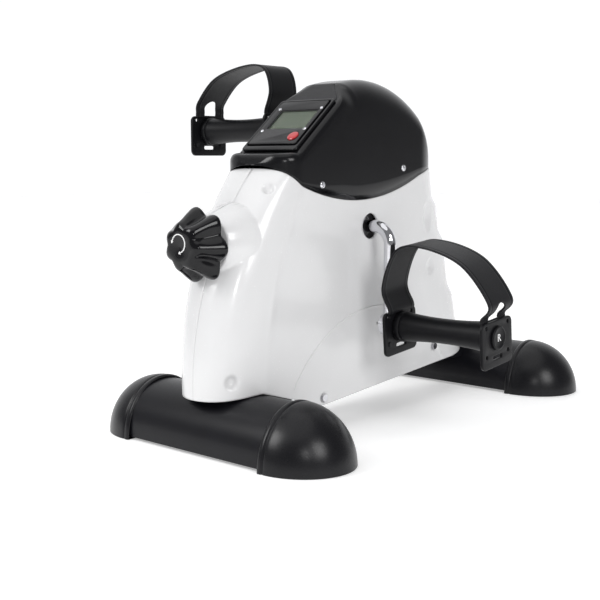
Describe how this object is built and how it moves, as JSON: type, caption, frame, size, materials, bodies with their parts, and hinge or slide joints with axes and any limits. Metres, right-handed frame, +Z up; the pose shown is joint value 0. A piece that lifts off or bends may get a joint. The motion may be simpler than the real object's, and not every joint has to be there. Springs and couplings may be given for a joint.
{
  "type": "pedal exerciser",
  "caption": "Floor-standing pedal exerciser: two cross feet, a one-piece crank with strapped pedals, a friction knob, and a white shell with a black display hood.",
  "frame": {"origin": "on the floor, midway across the pedals and midway along the feet", "axes": "+X is the user's right, +Y points away from the user, +Z is up; the crank turns about an axis along X"},
  "size_m": [0.3899, 0.5165, 0.3666],
  "materials": {
    "frame_black": "satin",
    "cap_black": "satin",
    "steel": "brushed",
    "chrome": "polished",
    "shell_white": "gloss",
    "hood_black": "gloss",
    "lcd_grey": "matte",
    "clear_window": "clear",
    "board_green": "satin",
    "cell_steel": "polished",
    "sensor_black": "matte",
    "drum_iron": "machined",
    "magnet_grey": "matte",
    "knob_black": "gloss",
    "carrier_alloy": "cast",
    "felt": "felt",
    "button_red": "gloss",
    "pedal_black": "satin",
    "strap_rubber": "matte"
  },
  "bodies": {
    "base": {"base_beam": "frame_black", "front_tube": "frame_black", "rear_tube": "frame_black", "cap_front_left": "cap_black", "cap_front_right": "cap_black", "cap_rear_left": "cap_black", "cap_rear_right": "cap_black", "foot_bolts": "steel", "side_plate_left": "steel", "side_plate_right": "steel", "bearing_left": "steel", "bearing_right": "steel", "front_post": "steel", "carrier_guide": "steel", "shell_left": "shell_white", "shell_right": "shell_white", "shell_screws": "chrome", "hood": "hood_black", "hood_screws": "chrome", "console_frame": "hood_black", "console_case": "hood_black", "lcd_panel": "lcd_grey", "lcd_window": "clear_window", "console_screws": "chrome", "circuit_board": "board_green", "coin_cell": "cell_steel", "speed_sensor": "sensor_black"},
    "crank": {"crank_bar": "chrome", "brake_drum": "drum_iron", "drum_pin": "steel", "sensor_magnet": "magnet_grey", "pedal_axle_left": "steel", "pedal_axle_right": "steel", "axle_nut_left": "steel", "axle_nut_right": "steel"},
    "knob": {"knob": "knob_black", "tension_screw": "steel", "screw_collar": "steel"},
    "shoe": {"shoe_carrier": "carrier_alloy", "felt_pad": "felt"},
    "button": {"reset_button": "button_red"},
    "pedal_left": {"roller_left": "pedal_black", "inner_plate_left": "pedal_black", "outer_plate_left": "pedal_black", "end_cap_left": "pedal_black", "strap_left": "strap_rubber", "strap_pins_left": "strap_rubber"},
    "pedal_right": {"roller_right": "pedal_black", "inner_plate_right": "pedal_black", "outer_plate_right": "pedal_black", "end_cap_right": "pedal_black", "strap_right": "strap_rubber", "strap_pins_right": "strap_rubber"}
  },
  "joints": [
    {"name": "crank_spin", "type": "hinge", "parent": "base", "child": "crank", "pos_m": [0, -0.04, 0.1995], "axis": [1, 0, 0], "continuous": true},
    {"name": "pedal_left_spin", "type": "hinge", "parent": "crank", "child": "pedal_left", "pos_m": [-0.1345, -0.04, 0.2975], "axis": [1, 0, 0], "continuous": true},
    {"name": "pedal_right_spin", "type": "hinge", "parent": "crank", "child": "pedal_right", "pos_m": [0.1345, -0.04, 0.1015], "axis": [1, 0, 0], "continuous": true},
    {"name": "shoe_slide", "type": "slide", "parent": "base", "child": "shoe", "axis": [0, 1, 0], "range_m": [0, 0.0025]},
    {"name": "knob_turn", "type": "hinge", "parent": "shoe", "child": "knob", "pos_m": [0, -0.245, 0.19], "axis": [0, 1, 0], "range_deg": [0, 720]},
    {"name": "button_press", "type": "slide", "parent": "base", "child": "button", "axis": [0, 0.6337, -0.7735], "range_m": [0, 0.0015], "stiffness_N_per_m": 300}
  ],
  "couplings": [
    {"joint": "shoe_slide", "follows": "knob_turn", "m_per_rad": 0.00019894}
  ]
}
